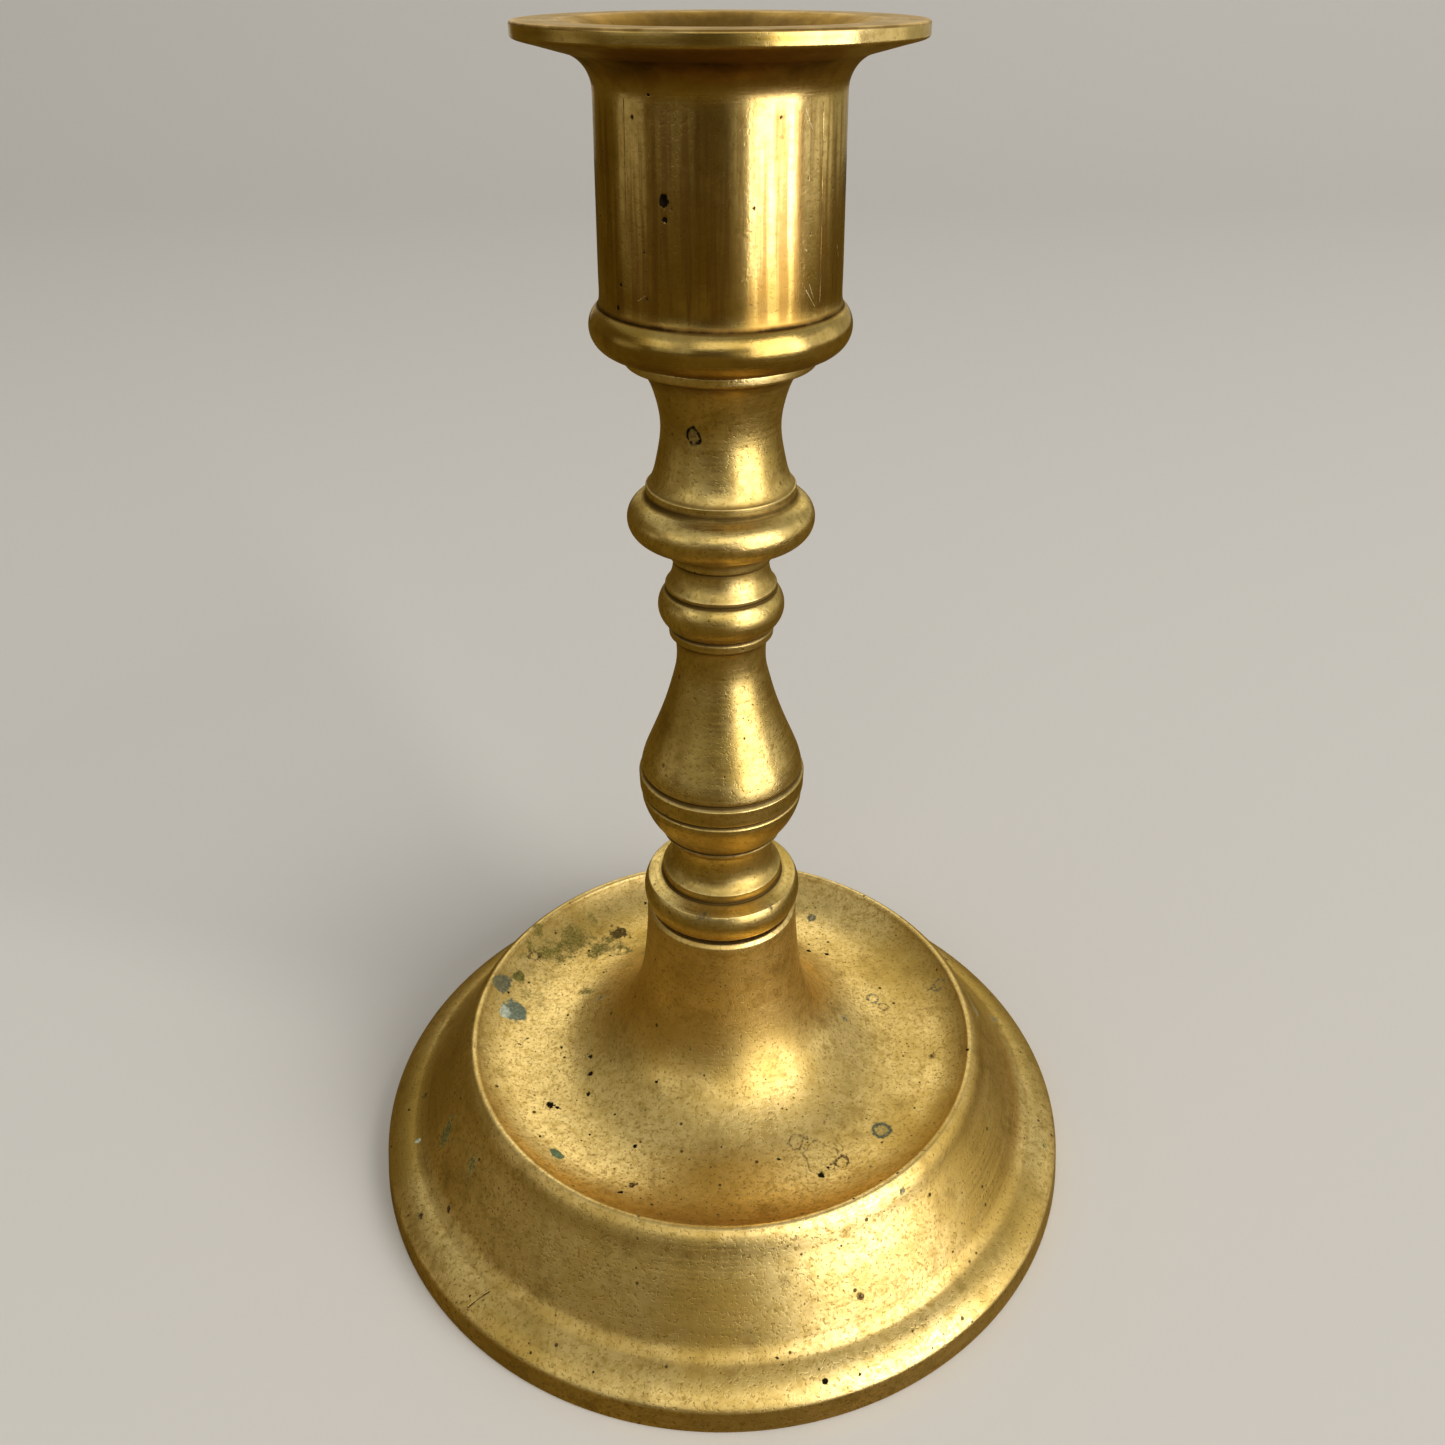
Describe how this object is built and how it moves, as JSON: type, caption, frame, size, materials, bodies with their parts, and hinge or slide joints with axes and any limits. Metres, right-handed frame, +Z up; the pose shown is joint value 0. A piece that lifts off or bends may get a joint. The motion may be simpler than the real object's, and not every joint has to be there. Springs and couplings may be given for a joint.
{
  "type": "candlestick",
  "caption": "Turned brass candlestick with a dished round foot, a baluster stem and a flanged candle socket, screwed together on threaded studs.",
  "frame": {"origin": "centre of the foot's resting face, on the table", "axes": "+Z up along the stem, through the middle of the candle socket; the turned shape is the same all round, so X and Y are free"},
  "size_m": [0.1008, 0.1008, 0.1474],
  "materials": {
    "foot_brass": "aged satin brass, brushed in circles and finely pitted",
    "stem_brass": "aged polished brass, tarnished brown in the grooves",
    "cup_brass": "aged polished brass with brown tarnish under the rim",
    "stud_steel": "dull threaded steel rod"
  },
  "bodies": {
    "foot": {"foot": "foot_brass"},
    "foot_stud": {"foot_stud": "stud_steel"},
    "stem": {"stem": "stem_brass"},
    "cup_stud": {"cup_stud": "stud_steel"},
    "cup": {"cup": "cup_brass"}
  },
  "joints": [
    {"name": "foot_thread_lift", "type": "slide", "parent": "foot", "child": "foot_stud", "axis": [0, 0, 1], "range_m": [-0.00085, 0.0085]},
    {"name": "stem_turn", "type": "hinge", "parent": "foot_stud", "child": "stem", "pos_m": [0, 0, 0.0427], "axis": [0, 0, 1], "range_deg": [-306.1, 3060.1]},
    {"name": "cup_thread_lift", "type": "slide", "parent": "stem", "child": "cup_stud", "axis": [0, 0, 1], "range_m": [0, 0.008]},
    {"name": "cup_turn", "type": "hinge", "parent": "cup_stud", "child": "cup", "pos_m": [0, 0, 0.11665], "axis": [0, 0, 1], "range_deg": [0, 2880.1]}
  ],
  "couplings": [
    {"joint": "stem_turn", "follows": "foot_thread_lift", "rad_per_m": 6283.2},
    {"joint": "cup_turn", "follows": "cup_thread_lift", "rad_per_m": 6283.2}
  ]
}
